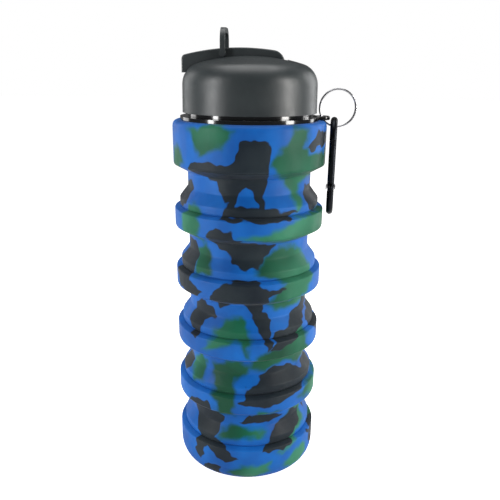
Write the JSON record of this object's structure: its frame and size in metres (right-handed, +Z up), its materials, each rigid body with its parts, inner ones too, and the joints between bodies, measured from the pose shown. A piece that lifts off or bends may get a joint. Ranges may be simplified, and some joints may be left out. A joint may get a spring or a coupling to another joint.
{
  "type": "folding water bottle",
  "caption": "Folding silicone water bottle with accordion body, threaded dome cap, flip-lever spout, finger loop, split ring and carabiner.",
  "frame": {"origin": "centre of the flat underside that the bottle stands on", "axes": "+Z up along the bottle, +X towards the lug that carries the split ring and carabiner, -Y towards the viewer with the carabiner at the right"},
  "size_m": [0.0857, 0.072, 0.2163],
  "materials": {
    "silicone": "matte, blue green and black camouflage",
    "neck": "glossy moulded",
    "cap": "fine matte",
    "cap_inner": "satin moulded",
    "seal": "soft silicone",
    "spout": "smooth moulded",
    "pin": "drawn wire",
    "ring_steel": "nickel plated",
    "carabiner": "black anodised"
  },
  "bodies": {
    "base": {"base_cup": "silicone", "groove_wall_1": "silicone"},
    "band_1": {"band_ring_1": "silicone", "groove_wall_2": "silicone"},
    "band_2": {"band_ring_2": "silicone", "groove_wall_3": "silicone"},
    "band_3": {"band_ring_3": "silicone", "groove_wall_4": "silicone"},
    "band_4": {"band_ring_4": "silicone", "groove_wall_5": "silicone"},
    "neck": {"neck_band": "silicone", "neck_insert": "neck", "neck_collar": "neck"},
    "cap_lift": {"cap_seal": "seal"},
    "cap": {"cap_dome": "cap", "cap_liner": "cap_inner", "spout_nozzle": "spout", "lever_pin": "pin"},
    "lever": {"flip_lever": "cap", "spout_plug": "seal", "loop_pin": "pin"},
    "loop": {"finger_loop": "cap"},
    "ring": {"key_ring": "ring_steel"},
    "carabiner": {"carabiner_frame": "carabiner", "gate_rivet": "pin"},
    "gate": {"carabiner_gate": "carabiner", "gate_spring": "pin"}
  },
  "joints": [
    {"name": "fold_1", "type": "slide", "parent": "base", "child": "band_1", "axis": [0, 0, -1], "range_m": [0, 0.0164], "deforming": ["groove_wall_1"]},
    {"name": "fold_2", "type": "slide", "parent": "band_1", "child": "band_2", "axis": [0, 0, -1], "range_m": [0, 0.0164], "deforming": ["groove_wall_2"]},
    {"name": "fold_3", "type": "slide", "parent": "band_2", "child": "band_3", "axis": [0, 0, -1], "range_m": [0, 0.0164], "deforming": ["groove_wall_3"]},
    {"name": "fold_4", "type": "slide", "parent": "band_3", "child": "band_4", "axis": [0, 0, -1], "range_m": [0, 0.0164], "deforming": ["groove_wall_4"]},
    {"name": "fold_5", "type": "slide", "parent": "band_4", "child": "neck", "axis": [0, 0, -1], "range_m": [0, 0.0164], "deforming": ["groove_wall_5"]},
    {"name": "cap_lift", "type": "slide", "parent": "neck", "child": "cap_lift", "axis": [0, 0, 1], "range_m": [0, 0.0045]},
    {"name": "cap_turn", "type": "hinge", "parent": "cap_lift", "child": "cap", "pos_m": [0, 0, 0.18], "axis": [0, 0, 1], "range_deg": [0, 540.1]},
    {"name": "lever_flip", "type": "hinge", "parent": "cap", "child": "lever", "pos_m": [0.01027, -0.00072, 0.2017], "axis": [0.0698, 0.9976, 0], "range_deg": [0, 105]},
    {"name": "loop_fold", "type": "hinge", "parent": "lever", "child": "loop", "pos_m": [-0.01167, 0.00082, 0.2056], "axis": [0.0698, 0.9976, 0], "range_deg": [-60, 60]},
    {"name": "ring_tilt", "type": "hinge", "parent": "neck", "child": "ring", "pos_m": [0.034, 0, 0.1779], "axis": [1, 0, 0], "range_deg": [-20, 20]},
    {"name": "carabiner_swing", "type": "hinge", "parent": "ring", "child": "carabiner", "pos_m": [0.0396, 0, 0.17415], "axis": [0.9903, -0.1392, 0], "range_deg": [-35, 35]},
    {"name": "gate_open", "type": "hinge", "parent": "carabiner", "child": "gate", "pos_m": [0.0383, -0.00926, 0.14745], "axis": [-0.9903, 0.1392, 0], "range_deg": [0, 28], "stiffness_Nm_per_rad": 0.04, "springref_deg": -22.92}
  ],
  "couplings": [
    {"joint": "fold_2", "follows": "fold_1", "ratio": 1},
    {"joint": "fold_3", "follows": "fold_1", "ratio": 1},
    {"joint": "fold_4", "follows": "fold_1", "ratio": 1},
    {"joint": "fold_5", "follows": "fold_1", "ratio": 1},
    {"joint": "cap_turn", "follows": "cap_lift", "rad_per_m": 2094.4}
  ]
}
